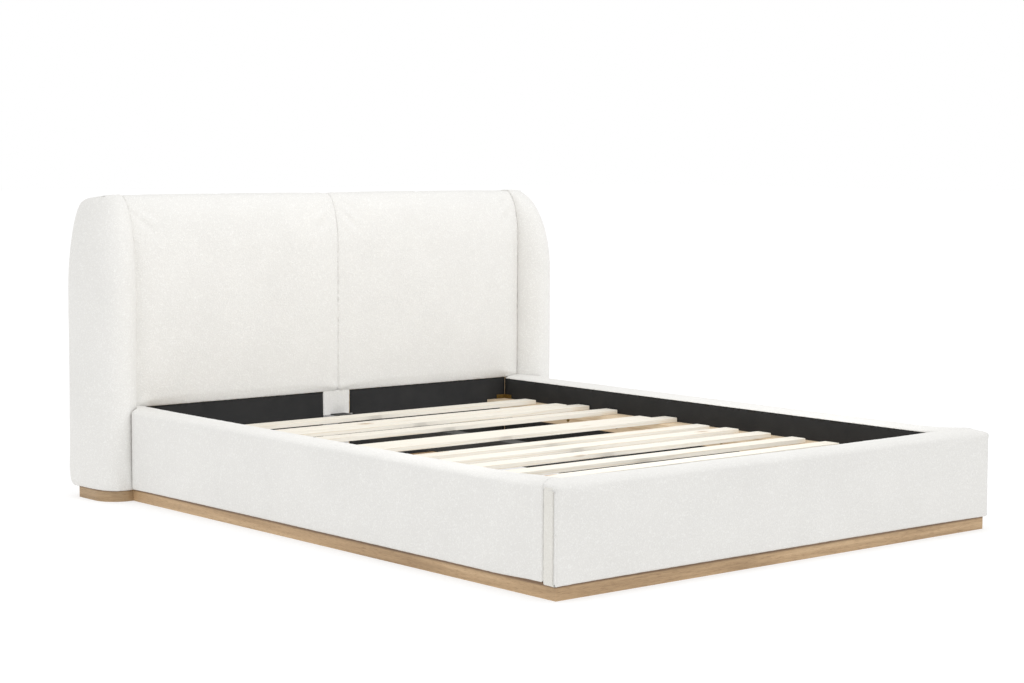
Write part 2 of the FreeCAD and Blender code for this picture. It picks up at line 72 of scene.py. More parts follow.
# How the upholstery is shaped.
CREST_Y = LINING_Y + 0.054  # highest line of the headboard
PAD_ROLL = (0.069, 0.185)  # front roll of a pad: depth and height
BACK_ROLL = 0.035  # height of the roll behind the crest
PAD_HEM = (0.014, 0.022)  # roll at the bottom of a pad
SEAM_WIDTH = 0.030  # a pad falls to its seam over this width
PAD_DIP = 0.009  # and by this depth
PAD_CROWN = 0.004  # extra fullness in the middle of a pad
WING_TOP = (0.093, 0.320)  # shoulder of a wing: width and height
WING_ROLL = 0.290  # height over which a wing rolls back
WING_INSIDE = 0.065  # width of a wing's inner front quarter
WING_OUTSIDE = 0.188  # depth of its outer front quarter
WING_BACK = 0.022  # its back outer corner
WING_SLACK = 0.001  # a wing's side lies this far inside its CAD node
WING_FOOT = (0.021, 0.065)  # rounded foot of a wing: inset and height
WING_TOE = 0.012  # the same inset at its front
WING_HEEL = 0.6  # and at its back, as a share of that at its side
WING_FOOT_BOX = 1.2  # how much squarer the foot is in plan
WING_HANG = 0.006  # the foot hangs this far down round the plinth
WING_TUCK = (0.994, 0.0003)  # its fabric turned in: share of the foot's size, and height
WING_HALF_GIRTH = 0.27  # cloth from its front seam to the middle of its side
WING_ROUNDING = 0.08  # cloth it takes to round in, beyond its height
SEAM_AHEAD = 0.78  # share of a pad's outline that lies ahead of the crest
RAIL_ROLL = (0.045, 0.018)  # outer top edge of a rail: depth and height
RAIL_INNER_ROLL = (0.070, 0.013)  # its inner top edge
RAIL_BOX = 2.3  # how square the outer roll is: 2 is an ellipse
FOOT_RISE = 0.005  # the padding is fuller by this along the foot
RISE_END = 0.15  # and back to normal this far behind the foot rail
RISE_LENGTH = 0.2  # over this length
RAIL_HEM = 0.009  # lower edge of a rail
HANG = 0.004  # the padding hangs this far down in front of the plinth
HEM_GAP = (0.001, 0.0015)  # its gap to the plinth, at the hem and at the lowest point
RAIL_CROWN = 0.002  # extra fullness in the middle of a rail
JOINT_DIP = 0.006  # depth of the seams between the rails
JOINT_WIDTH = 0.008  # a rail falls to its seam over this width
HEAD_JOINT = (0.004, 0.0018)  # the slighter fall at the headboard: width and depth
ARRIS_DIP = 0.0084  # the deeper one at the ends of the foot rail
HEAD_FIT = 0.002  # a side rail enters the wing, and clears the lining, by this
STRIP_LIFT = 0.0095  # thickness of a foot corner strip that shows
STRIP_START = 0.0125  # its front seam, behind the foot rail's face
STRIP_END = 0.0025  # its back seam, ahead of its CAD node's end
STRIP_RISE = 0.003  # it goes this far up under the rails' top
STRIP_EDGE = 0.004  # rounding of its two long edges
STRIP_PUCKER = 0.0012
STRIP_COLUMNS = 15
SEAM_TOP = (0.020, 0.012)  # the corner seams fade out here, below the rails' top
TUCK = 0.0005  # fabric turned down beyond a rail's top

CENTRE_SHIFT = 0.003  # the strip between the head linings sits this far left
CENTRE_RISE = 0.004  # it goes this far up behind the pads
CENTRE_TAPER = 0.05  # and is this share narrower at its foot
CENTRE_EDGE = (0.006, 0.004)  # fall at its edges: width and depth
CENTRE_SEAM = (0.006, 0.0025)  # and at its seam
CENTRE_PUCKER = 0.0005
CENTRE_COLUMNS = 25
CLEAR = 0.001  # the foam's inner corners keep this clear of the timber
UNDER_TOP = 0.002  # and this far under the rails' top

# Stretched sheets.
LINING_THICKNESS = 0.0028
COVER_THICKNESS = 0.003
COVER_INSET = 0.002  # the back cover lies this far ahead of the back
LINING_RIPPLE = 0.0006  # height of a sheet's unevenness
COVER_RIPPLE = 0.0012
SLACK_AT = 0.03  # distance from the staples where it has all its slack
PULLS_REACH = 0.02  # the staples' pull dies out over this distance
SHEET_FOLD = 0.003  # a sheet's edge is rounded over this width
SHEET_GRID = 0.012  # spacing of its points

# The fabric over the foam.
PAD_SWELL = 0.004  # cloth starts this far inside its surface, and fills up
WING_SWELL = 0.004
RAIL_SWELL = 0.003
OVERFILL = 1.15  # it moves no further than this share of its swell
FULL_AT = 0.05  # distance from a seam where it has all its swell
PUCKER = 0.0008  # height of the puckers along a seam
PUCKER_SCALE = 55
PUCKER_REACH = 0.02  # they die out over this distance
FOAM = (0.0009, 9, 3.1)  # unevenness of the foam: height, scale and seed
NAP = (0.00035, 110, 7.7)  # the same for the fabric's loops

GRID = 0.0095  # spacing of the simulated cloth
CLOTH = {"quality": 5, "mass": 0.3, "tension_stiffness": 25, "compression_stiffness": 25,
         "shear_stiffness": 12, "bending_stiffness": 2, "use_pressure": True,
         "uniform_pressure_force": 4.0, "vertex_group_mass": "held"}
FRAMES = 20
WELD = 1e-5  # points closer than this are one


# ---- outlines

def quarter(centre, across, up, start, end, power=2.0):
    """Points along a boxed ellipse between two angles in degrees, its start left out."""
    count = max(8, int(abs(end - start) / 3))
    turns = np.radians(np.linspace(start, end, count + 1))[1:]
    cosine, sine = np.cos(turns), np.sin(turns)
    reach = (np.abs(cosine) ** power + np.abs(sine) ** power) ** (-1 / power)
    return np.stack([centre[0] + across * cosine * reach, centre[1] + up * sine * reach], 1)


def outline(*parts):
    return np.concatenate([np.atleast_2d(np.array(part, float)) for part in parts])


def evenly(points, count):
    """The same line with this many points, evenly spaced."""
    lengths = np.linalg.norm(np.diff(points, axis=0), axis=1)
    along = np.concatenate([[0], np.cumsum(lengths)])
    wanted = np.linspace(0, along[-1], count)
    return np.stack([np.interp(wanted, along, column) for column in points.T], 1)


def length_of(points):
    return float(np.linalg.norm(np.diff(points, axis=0), axis=1).sum())


def count_for(length):
    return max(3, round(length / GRID) + 1)


def fall(distance, width, depth, power=2.0):
    """How far a padded edge has fallen at a distance from its seam: a quarter ellipse."""
    share = np.clip(distance / width, 0, 1)
    return depth * (1 - np.clip(1 - (1 - share) ** power, 0, 1) ** (1 / power))


def ease(share):
    share = np.clip(share, 0, 1)
    return share * share * (3 - 2 * share)


# ---- grids of points

def normals_of(points):
    """Unit normals of a grid whose rows run one way and columns the other."""
    along = np.gradient(points, axis=0)
    across = np.gradient(points, axis=1)
    normals = np.cross(across, along)
    return normals / np.maximum(np.linalg.norm(normals, axis=2, keepdims=True), 1e-12)


def doubled(grid):
    """The grid with a point added between each two, on a smooth curve through them."""
    for axis in (0, 1):
        grid = np.moveaxis(grid, axis, 0)
        padded = np.concatenate([2 * grid[:1] - grid[1:2], grid, 2 * grid[-1:] - grid[-2:-1]])
        between = (9 * (padded[1:-2] + padded[2:-1]) - padded[:-3] - padded[3:]) / 16
        finer = np.zeros((2 * len(grid) - 1,) + grid.shape[1:])
        finer[0::2] = grid
        finer[1::2] = between
        grid = np.moveaxis(finer, 0, axis)
    return grid


def grid_edge(points):
    """Distance of each point from the grid's nearest side, along the grid."""
    steps_along = np.linalg.norm(np.diff(points, axis=0), axis=2)
    steps_across = np.linalg.norm(np.diff(points, axis=1), axis=2)
    down = np.concatenate([np.zeros((1, points.shape[1])), np.cumsum(steps_along, 0)])
    over = np.concatenate([np.zeros((points.shape[0], 1)), np.cumsum(steps_across, 1)], 1)
    return np.minimum(np.minimum(down, down[-1] - down), np.minimum(over, over[:, -1:] - over))


def grid_border(points):
    held = np.zeros(points.shape[:2], bool)
    held[[0, -1]] = True
    held[:, [0, -1]] = True
    return held


def quads(rows, columns, first=0):
    return [
        (first + r * columns + c, first + r * columns + c + 1,
         first + (r + 1) * columns + c + 1, first + (r + 1) * columns + c)
        for r in range(rows - 1) for c in range(columns - 1)
    ]


def welded(points, faces):
    """Joins points that coincide. Returns points, faces and where each old point went."""
    keys = np.round(points / WELD).astype(np.int64)
    found = np.unique(keys, axis=0, return_index=True, return_inverse=True)
    first, place = found[1], found[2].ravel()
    kept = []
    for face in faces:
        corners = list(dict.fromkeys(int(place[corner]) for corner in face))
        if len(corners) > 2:
            kept.append(corners)
    return points[first], kept, place


def inflated(points, pinned, limit):
    """How cloth held at its pinned points moves under pressure, for each point of the grid."""
    rows, columns = points.shape[:2]
    vertices, faces, place = welded(points.reshape(-1, 3), quads(rows, columns))
    mesh = bpy.data.meshes.new("cloth")
    mesh.from_pydata(vertices.tolist(), [], faces)
    cloth = bpy.data.objects.new("cloth", mesh)
    bpy.context.scene.collection.objects.link(cloth)
    held = cloth.vertex_groups.new(name="held")
    held.add([int(index) for index in np.unique(place[pinned.ravel()])], 1.0, "REPLACE")
    modifier = cloth.modifiers.new("cloth", "CLOTH")
    settings = modifier.settings
    for key, value in CLOTH.items():
        setattr(settings, key, value)
    settings.effector_weights.gravity = 0
    scene = bpy.context.scene
    for number in range(1, FRAMES + 1):
        scene.frame_set(number)
    shape = cloth.evaluated_get(bpy.context.evaluated_depsgraph_get())
    moved = np.empty(len(vertices) * 3)
    shape.data.vertices.foreach_get("co", moved)
    scene.frame_set(1)
    bpy.data.objects.remove(cloth)
    bpy.data.meshes.remove(mesh)
    shift = (moved.reshape(-1, 3) - vertices)[place].reshape(points.shape)
    size = np.maximum(np.linalg.norm(shift, axis=2, keepdims=True), 1e-9)
    return shift * limit * np.tanh(size / limit) / size


def noise_at(points, scale, seed=0.0):
    flat = points.reshape(-1, 3) * scale + seed
    values = [noise.noise(Vector(point)) for point in flat]
    return np.array(values).reshape(points.shape[:2] + (1,))


def uneven(points, height, scale, seed=0.0):
    return height * noise_at(points, scale, seed)


def upholstered(surface, rows, columns, swell, held=grid_border, pucker=PUCKER):
    """Fabric over foam: the surface's shape, with what simulated cloth adds to it.

    held tells where the cloth is sewn or stapled. It starts smaller by swell, and fills up."""
    coarse = surface(rows, columns)
    fine = surface(2 * rows - 1, 2 * columns - 1)
    room = swell * ease(grid_edge(coarse) / FULL_AT)[..., None]
    fine_room = swell * ease(grid_edge(fine) / FULL_AT)[..., None]
    normals = normals_of(fine)
    if not swell:
        filled = fine_room * normals
    else:
        start = coarse - room * normals_of(coarse)
        filled = doubled(inflated(start, held(coarse), swell * OVERFILL))
    nearness = np.exp(-grid_edge(fine) / PUCKER_REACH)[..., None]
    puckers = pucker * nearness * noise_at(fine, PUCKER_SCALE)
    foam = uneven(fine, *FOAM) * (1 - nearness)
    return fine + filled + (puckers + foam + uneven(fine, *NAP) - fine_room) * normals


def closed(skin, corners):
    """A closed form: the skin's grid, its inner corner lines and the two ends.

    corners has the skin's rows, and a few points across that the back of the foam follows."""
    rows, columns = skin.shape[:2]
    inner = corners.shape[1]
    points = np.concatenate([skin.reshape(-1, 3), corners.reshape(-1, 3)])
    first = rows * columns
    faces = quads(rows, columns)
    faces += [face[::-1] for face in quads(rows, inner, first)]
    for r in range(rows - 1):
        start, after = r * columns, (r + 1) * columns
        near, beyond = first + r * inner, first + (r + 1) * inner
        faces.append((start, after, beyond, near))
        end, end_after = start + columns - 1, after + columns - 1
        faces.append((end, near + inner - 1, beyond + inner - 1, end_after))
    for r in (0, rows - 1):
        faces += end_fan(skin[r], corners[r], r * columns, first + r * inner, r > 0)
    return points, faces


def end_fan(line, corners, line_first, corner_first, flipped):
    """Triangles between the end of a skin and the inner corners behind it."""
    distance = np.linalg.norm(line[:, None] - corners[None], axis=2)
    nearest = np.maximum.accumulate(distance.argmin(1))
    nearest[0] = 0
    nearest[-1] = len(corners) - 1
    faces = []
    for c in range(len(line) - 1):
        for step in range(nearest[c], nearest[c + 1]):
            faces.append((line_first + c, corner_first + step, corner_first + step + 1))
        target = corner_first + nearest[c + 1]
        faces.append((line_first + c, target, line_first + c + 1))
    return [face[::-1] for face in faces] if flipped else faces


def mirrored(grid):
    """The grid for the bed's other side, its rows reversed so that it still faces out."""
    return grid[::-1] * np.array([-1, 1, 1])


def piece(name, points, faces, material, body="frame"):
    vertices, kept, _ = welded(np.asarray(points, float), faces)
    mesh = bpy.data.meshes.new(name)
    mesh.from_pydata(vertices.tolist(), [], kept)
    mesh.shade_smooth()
    mesh.validate()
    obj = bpy.data.objects.new(name, mesh)
    bpy.context.scene.collection.objects.link(obj)
    mesh.materials.append(material)
    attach(obj, body)
    return obj


# ---- shader nodes

# Sockets of a Mix node that mixes colours.
MIX_FACTOR, MIX_FIRST, MIX_SECOND = 0, 6, 7
MIX_RESULT = 2

# A softwood's grain runs along X, Y or Z with one of these turns.
GRAIN_TURNS = ((0, 0, 0), (0, 0, -math.pi / 2), (0, math.pi / 2, 0))
SHADOW_BAND = 0.007                  # height of the painted shadow band on the oak under the fabric


def new_material(name):
    material = bpy.data.materials.new(name)
    material.use_nodes = True
    tree = material.node_tree
    shader = tree.nodes["Principled BSDF"]
    return material, tree, shader


def node(tree, kind, inputs=None, **settings):
    """Adds a node. An input's value is a number, a tuple or another node's socket."""
    made = tree.nodes.new(f"ShaderNode{kind}")
    for key, value in settings.items():
        setattr(made, key, value)
    for key, value in (inputs or {}).items():
        if isinstance(value, bpy.types.NodeSocket):
            tree.links.new(value, made.inputs[key])
        else:
            made.inputs[key].default_value = value
    return made


def object_space(tree, scale=(1, 1, 1), offset=(0, 0, 0)):
    place = node(tree, "TexCoord").outputs["Object"]
    mapping = node(tree, "Mapping", {"Vector": place, "Scale": scale, "Location": offset})
    return mapping.outputs["Vector"]


def noise_node(tree, vector, scale, detail=3.0, distortion=0.0):
    made = node(tree, "TexNoise", {"Vector": vector, "Scale": scale, "Detail": detail,
                                   "Distortion": distortion})
    return made.outputs["Fac"]


def ramp(tree, factor, *stops):
    """A colour ramp through (place, colour) stops."""
    made = node(tree, "ValToRGB", {"Fac": factor})
    elements = made.color_ramp.elements
    while len(elements) < len(stops):
        elements.new(0.5)
    for element, (place, colour) in zip(elements, stops):
        element.position = place
        element.color = (*colour, 1)
    return made.outputs["Color"]


def maths(tree, operation, first, second):
    return node(tree, "Math", {0: first, 1: second}, operation=operation).outputs[0]


def blended(tree, factor, first, second, kind="MIX"):
    """Mixes two colours, each a tuple or another node's socket."""
    colours = [value if isinstance(value, bpy.types.NodeSocket) else (*value, 1)
               for value in (first, second)]
    made = node(tree, "Mix", {MIX_FACTOR: factor, MIX_FIRST: colours[0], MIX_SECOND: colours[1]},
                data_type="RGBA", blend_type=kind)
    return made.outputs[MIX_RESULT]


def relief(tree, shader, height, strength, distance):
    bump = node(tree, "Bump", {"Height": height, "Strength": strength, "Distance": distance})
    tree.links.new(bump.outputs["Normal"], shader.inputs["Normal"])


def boucle_material(name, tone=(1.0, 1.0, 1.0)):
    """Off-white boucle: short curled loops in loose tufts, a little darker between them as painted
    shade.
    """
    material, tree, shader = new_material(name)
    place = object_space(tree)
    wander = node(tree, "TexNoise", {"Vector": place, "Scale": 130.0, "Detail": 2.0})
    moved = node(tree, "VectorMath", {0: wander.outputs["Color"], 1: (0.008, 0.008, 0.008)},
                 operation="MULTIPLY")
    curled = node(tree, "VectorMath", {0: place, 1: moved.outputs[0]}, operation="ADD")
    loops = node(tree, "TexVoronoi", {"Vector": curled.outputs[0], "Scale": 230.0},
                 feature="SMOOTH_F1")
    fibres = noise_node(tree, curled.outputs[0], 620.0, 3.0)
    tufts = noise_node(tree, place, 75.0, 2.0)
    height = maths(tree, "SUBTRACT", maths(tree, "MULTIPLY", fibres, 0.35),
                   loops.outputs["Distance"])
    height = maths(tree, "ADD", height, maths(tree, "MULTIPLY", tufts, 0.5))
    relief(tree, shader, height, 0.6, 0.0014)
    # Painted shade: the colour darkens into the hollows between the loops.
    shade = ramp(tree, height, (0.0, (0.78, 0.77, 0.745)), (0.35, (0.86, 0.855, 0.83)))
    patches = ramp(tree, noise_node(tree, place, 6.0, 2.0),
                   (0.3, (0.97, 0.97, 0.97)), (0.7, (1.0, 1.0, 1.0)))
    colour = blended(tree, 1.0, shade, patches, "MULTIPLY")
    colour = blended(tree, 1.0, colour, tone, "MULTIPLY")
    tree.links.new(colour, shader.inputs["Base Color"])
    shader.inputs["Roughness"].default_value = 0.95
    shader.inputs["Specular IOR Level"].default_value = 0.15
    shader.inputs["Sheen Weight"].default_value = 0.12
    shader.inputs["Sheen Roughness"].default_value = 0.6
    return material


def lining_material():
    """Black spun-bonded lining with its small embossed dots."""
    material, tree, shader = new_material("black_lining")
    place = object_space(tree)
    dots = node(tree, "TexVoronoi", {"Vector": place, "Scale": 420.0, "Randomness": 0.25})
    fibres = noise_node(tree, place, 900.0, 4.0)
    height = maths(tree, "ADD", dots.outputs["Distance"], maths(tree, "MULTIPLY", fibres, 0.4))
    relief(tree, shader, height, 0.35, 0.0006)
    colour = ramp(tree, noise_node(tree, place, 14.0, 4.0),
                  (0.3, (0.021, 0.021, 0.0215)), (0.75, (0.028, 0.028, 0.028)))
    tree.links.new(colour, shader.inputs["Base Color"])
    shader.inputs["Roughness"].default_value = 0.85
    shader.inputs["Specular IOR Level"].default_value = 0.25
    return material


def oak_material(name, tone=1.0):
    """Oak under matt lacquer: level grain, fine dark pores, and painted shade close under the
    fabric; a tone below 1 darkens the whole copy as painted shade.
    """
    material, tree, shader = new_material(name)
    long_way = object_space(tree, (1.4, 1.4, 26))
    grain = noise_node(tree, long_way, 1.0, 6.0, 0.9)
    bands = noise_node(tree, object_space(tree, (3, 3, 130)), 1.0, 3.0, 0.3)
    pores = noise_node(tree, object_space(tree, (38, 38, 1500)), 1.0, 2.0)
    wood = ramp(tree, grain, (0.25, (0.39, 0.255, 0.135)), (0.5, (0.57, 0.39, 0.22)),
                (0.8, (0.66, 0.475, 0.285)))
    streaks = ramp(tree, bands, (0.35, (0.84, 0.82, 0.79)), (0.65, (1.0, 1.0, 1.0)))
    holes = ramp(tree, pores, (0.33, (0.62, 0.56, 0.50)), (0.46, (1.0, 1.0, 1.0)))
    colour = blended(tree, 1.0, blended(tree, 1.0, wood, streaks, "MULTIPLY"), holes, "MULTIPLY")
    # Painted shade: the oak darkens over a band just under the fabric's hem, where the overhang's
    # shadow falls.
    up = node(tree, "SeparateXYZ", {0: node(tree, "TexCoord").outputs["Object"]}).outputs["Z"]
    under = node(tree, "MapRange", {"Value": up, "From Min": HEM_Z - HANG - SHADOW_BAND,
                                    "From Max": HEM_Z - HANG})
    painted_hem_shade = ramp(tree, under.outputs["Result"], (0.0, (1, 1, 1)), (0.75, (0.38, 0.33, 0.30)))
    colour = blended(tree, 1.0, colour, painted_hem_shade, "MULTIPLY")
    colour = blended(tree, 1.0, colour, (tone, tone, tone), "MULTIPLY")
    tree.links.new(colour, shader.inputs["Base Color"])
    height = maths(tree, "ADD", maths(tree, "MULTIPLY", pores, 0.7), bands)
    relief(tree, shader, height, 0.25, 0.0004)
    rough = node(tree, "MapRange", {"Value": bands, "To Min": 0.42, "To Max": 0.56})
    tree.links.new(rough.outputs["Result"], shader.inputs["Roughness"])
    return material


def softwood_material(name, pale, dark, offset, turn=0, knots=True, tone=1.0):
    """Planed softwood cut off the heart: growth rings, fibres and small knots.

    Its grain runs along X, or along Y or Z with a turn of 1 or 2."""
    material, tree, shader = new_material(name)
    place = node(tree, "TexCoord").outputs["Object"]
    turned = node(tree, "Mapping", {"Vector": place,
                                    "Rotation": GRAIN_TURNS[turn]}).outputs["Vector"]
    along = node(tree, "Mapping", {"Vector": turned, "Location": offset,
                                   "Scale": (0.12, 1, 1)}).outputs["Vector"]
    drift = node(tree, "TexNoise", {"Vector": along, "Scale": 9.0, "Detail": 2.0})
    drift = node(tree, "VectorMath", {0: drift.outputs["Color"], 1: (0.03, 0.03, 0.03)},
                 operation="MULTIPLY")
    bent = node(tree, "VectorMath", {0: along, 1: drift.outputs[0]}, operation="ADD")
    phase = 0.0
    if knots:
        spots = node(tree, "Mapping", {"Vector": turned, "Location": offset,
                                       "Scale": (3.1, 9, 9)}).outputs["Vector"]
        knot = node(tree, "TexVoronoi", {"Vector": spots, "Scale": 1.0}).outputs["Distance"]
        knot = node(tree, "MapRange", {"Value": knot, "From Min": 0.03, "From Max": 0.13,
                                       "To Min": 1.0, "To Max": 0.0}).outputs["Result"]
        phase = maths(tree, "MULTIPLY", knot, 9.0)
    rings = node(tree, "TexWave", {"Vector": bent.outputs[0], "Scale": 38.0, "Distortion": 1.2,
                                   "Detail": 2.0, "Phase Offset": phase},
                 wave_type="RINGS", rings_direction="X", wave_profile="SAW").outputs["Fac"]
    fibres = noise_node(tree, node(tree, "Mapping", {
        "Vector": turned, "Scale": (14, 700, 700)}).outputs["Vector"], 1.0, 3.0)
    toned = [tuple(channel * tone for channel in colour) for colour in (pale, dark)]
    wood = ramp(tree, rings, (0.0, toned[0]), (0.72, toned[0]), (1.0, toned[1]))
    grain = ramp(tree, fibres, (0.3, (0.93, 0.92, 0.90)), (0.65, (1.0, 1.0, 1.0)))
    colour = blended(tree, 1.0, wood, grain, "MULTIPLY")
    if knots:
        brown = (0.42 * tone, 0.25 * tone, 0.12 * tone)
        colour = blended(tree, maths(tree, "MULTIPLY", knot, 0.85), colour, brown)
    tree.links.new(colour, shader.inputs["Base Color"])
    relief(tree, shader, maths(tree, "ADD", fibres, maths(tree, "MULTIPLY", rings, 0.3)),
           0.2, 0.0003)
    shader.inputs["Roughness"].default_value = 0.62
    return material


def metal_material(name, colour, worn, roughness):
    """Zinc plate with its faint mottling."""
    material, tree, shader = new_material(name)
    place = object_space(tree)
    mottle = noise_node(tree, place, 160.0, 4.0)
    tree.links.new(ramp(tree, mottle, (0.35, worn), (0.65, colour)), shader.inputs["Base Color"])
    rough = node(tree, "MapRange", {"Value": mottle, "To Min": roughness,
                                    "To Max": roughness + 0.15})
    tree.links.new(rough.outputs["Result"], shader.inputs["Roughness"])
    shader.inputs["Metallic"].default_value = 1.0
    relief(tree, shader, noise_node(tree, place, 900.0, 2.0), 0.15, 0.0002)
    return material


def plastic_material():
    material, tree, shader = new_material("black_plastic")
    grain = noise_node(tree, object_space(tree), 1400.0, 2.0)
    relief(tree, shader, grain, 0.3, 0.0002)
    tree.links.new(ramp(tree, grain, (0.3, (0.020, 0.020, 0.021)), (0.7, (0.032, 0.032, 0.033))),
                   shader.inputs["Base Color"])
    shader.inputs["Roughness"].default_value = 0.55
    return material


def under_slat_shade_material():
    """Timber in flat black, standing in as painted shade under the slats, its fibres still to be
    felt.
    """
    material, tree, shader = new_material("black_timber")
    fibres = noise_node(tree, object_space(tree, (300, 12, 300)), 1.0, 3.0)
    relief(tree, shader, fibres, 0.3, 0.0004)
    tree.links.new(ramp(tree, fibres, (0.3, (0.020, 0.019, 0.018)), (0.7, (0.034, 0.033, 0.032))),
                   shader.inputs["Base Color"])
    shader.inputs["Roughness"].default_value = 0.7
    return material


boucle = boucle_material("boucle")
# A darker copy of the boucle for the foot corner strips: painted shade at the foot corners.
corner_shade_boucle = boucle_material("boucle_painted_corner_shade", (0.95, 0.94, 0.91))
black_lining = lining_material()
oak = oak_material("oak")
# A darker copy of the oak for the plinth blocks under the wings: painted shade of the wings'
# overhang.
shaded_oak = oak_material("oak_painted_shade_under_wing", 0.76)


# ---- headboard

def pad_outline():
    """A pad in the YZ plane: rolled hem, flat front, roll over the top and down the back."""
    front = pad_low.y
    hem_y = front + PAD_HEM[0]
    hem_z = pad_low.z + PAD_HEM[1]
    roll_z = TOP_Z - PAD_ROLL[1]
    reach = CREST_Y - front
    return outline(
        (hem_y, pad_low.z + CLEAR),
        quarter((hem_y, hem_z), PAD_HEM[0], PAD_HEM[1], 270, 180),
        (front, roll_z),
        quarter((CREST_Y, roll_z), reach, PAD_ROLL[1], 180, 90),
        quarter((CREST_Y, TOP_Z - BACK_ROLL), BACK_Y - CREST_Y, BACK_ROLL, 90, 0),
        (BACK_Y, board_high.z + CLEAR),
    )


def outline_normals(points):
    along = np.gradient(points, axis=0)
    normals = np.stack([-along[:, 1], along[:, 0]], 1)
    return normals / np.linalg.norm(normals, axis=1, keepdims=True)


def pad_surface(rows, columns):
    line = evenly(pad_outline(), columns)
    outward = outline_normals(line)
    x = np.linspace(SEAM_X, 0, rows)
    from_seam = np.minimum(x, SEAM_X - x)
    height = PAD_CROWN * np.sin(math.pi * x / SEAM_X) ** 0.7 - fall(from_seam, SEAM_WIDTH, PAD_DIP)
    share = np.linspace(0, 1, columns)
    margin = 0.12
    full = np.clip(np.minimum(share / margin, (1 - share) / margin), 0, 1)
    lift = np.where(height[:, None] > 0, height[:, None] * full, height[:, None])
    y = line[None, :, 0] + lift * outward[None, :, 0]
    z = line[None, :, 1] + lift * outward[None, :, 1]
    return np.stack([np.broadcast_to(x[:, None], y.shape), y, z], 2)


def constant_lines(skin, corners, axes):
    """Inner corner lines that run with the skin's rows, at fixed places on two axes."""
    lines = np.repeat(skin[:, :1], len(corners), axis=1)
    for index, place in enumerate(corners):
        for axis, value in zip(axes, place):
            lines[:, index, axis] = value
    return lines


def both(name, skin, corner_lines, material):
    """The closed piece on the right and its mirror on the left."""
    for side, flip in (("right", False), ("left", True)):
        shape = mirrored(skin) if flip else skin
        lines = mirrored(corner_lines) if flip else corner_lines
        obj = piece(f"{name}_{side}_fabric", *closed(shape, lines), material)
        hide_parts(f"{name}_{side}")


def make_pads():
    rows = count_for(SEAM_X)
    columns = count_for(length_of(pad_outline()))
    skin = upholstered(pad_surface, rows, columns, PAD_SWELL)
    inner = [(board_low.y, pad_low.z + CLEAR), (board_low.y, board_high.z + CLEAR),
             (back_low.y, board_high.z + CLEAR)]
    both("headboard_front_pad", skin, constant_lines(skin, inner, (1, 2)), boucle)


def seam_line():
    """Where a pad meets its wing, in the YZ plane: the pad's outline sunk by the seam."""
    line = evenly(pad_outline(), 400)
    return line - PAD_DIP * outline_normals(line)


def wing_levels(count):
    """Heights of the wing's rings, close together where it rounds in."""
    foot = np.radians(np.linspace(90, 0, 24))
    roll = np.radians(np.linspace(0, 90, 60))
    low = HEM_Z - WING_HANG + WING_FOOT[1] * (1 - np.sin(foot))
    high = TOP_Z - WING_ROLL * (1 - np.sin(roll))
    depth_low = WING_FOOT[0] * np.cos(foot)
    depth_high = -(CREST_Y - wing_low.y) * np.cos(roll)
    line = outline(np.stack([depth_low, low], 1),
                   np.stack([depth_high - depth_high[0] + depth_low[-1], high], 1))
    return evenly(line, count)[:, 1]


def shoulder(z, height, power=2.0):
    """1 below the shoulder, falling to 0 at the headboard's top."""
    share = np.clip((z - (TOP_Z - height)) / height, 0, 1)
    return (1 - share ** power) ** (1 / power)


def valley_y(z):
    """Where the seam between a pad and its wing lies at a height, ahead of the crest."""
    seam = seam_line()
    front_seam = seam[:int(len(seam) * SEAM_AHEAD)]
    rising = front_seam[np.argsort(front_seam[:, 1])]
    return min(float(np.interp(z, rising[:, 1], rising[:, 0])), CREST_Y)


def wing_extent(z):
    """How far the wing reaches out, forwards and back at a height, and its share of foot."""
    foot = np.clip((HEM_Z - WING_HANG + WING_FOOT[1] - z) / WING_FOOT[1], 0, 1)
    toe = WING_TOE * (1 - math.sqrt(1 - foot ** 2))
    inset = WING_FOOT[0] * (1 - math.sqrt(1 - foot ** 2))
    outer = wing_high.x - WING_SLACK - WING_TOP[0] * (1 - shoulder(z, WING_TOP[1])) - inset
    front = CREST_Y - (CREST_Y - wing_low.y - toe) * shoulder(z, WING_ROLL)
    back = CREST_Y + (BACK_Y - inset * WING_HEEL - CREST_Y) * shoulder(z, BACK_ROLL, 2.5)
    return outer, front, back, foot


def wing_ring(z, half):
    """A level section of the right wing: from its front seam, round its outside, to its back."""
    outer, front, back, foot = wing_extent(z)
    valley = valley_y(z)
    width = outer - SEAM_X
    narrow = width / (wing_high.x - SEAM_X)
    depth = (back - front) / (BACK_Y - wing_low.y)
    inside = WING_INSIDE * narrow
    quarter_depth = WING_OUTSIDE * depth
    corner = WING_BACK * min(depth, narrow)
    middle = (front + quarter_depth + back - corner) / 2
    ahead = outline(
        (SEAM_X, valley),
        quarter((SEAM_X + inside, valley), inside, valley - front, 180, 270),
        quarter((SEAM_X + inside, front + quarter_depth), width - inside, quarter_depth, 270, 360,
                2 + WING_FOOT_BOX * foot),
        (outer, middle),
    )
    behind = outline(
        (outer, middle),
        quarter((outer - corner, back - corner), corner, corner, 0, 90),
        (SEAM_X, back),
    )
    return np.concatenate([evenly(ahead, half + 1), evenly(behind, half + 1)[1:]])


def wing_surface(rows, columns):
    half = (columns - 1) // 2
    grid = np.zeros((rows, columns, 3))
    for index, z in enumerate(wing_levels(rows)[:-1]):
        grid[index, :, :2] = wing_ring(z, half)
        grid[index, :, 2] = z
    shares = np.abs(np.abs(np.linspace(-1, 1, columns)) - 1)
    ridge = wing_high.x - WING_TOP[0] - SEAM_X
    grid[-1, :, 0] = SEAM_X + ridge * shares
    grid[-1, :, 1] = CREST_Y
    grid[-1, :, 2] = TOP_Z
    return grid


def wing_border(points):
    held = np.zeros(points.shape[:2], bool)
    held[0] = True
    held[:, [0, -1]] = True
    return held


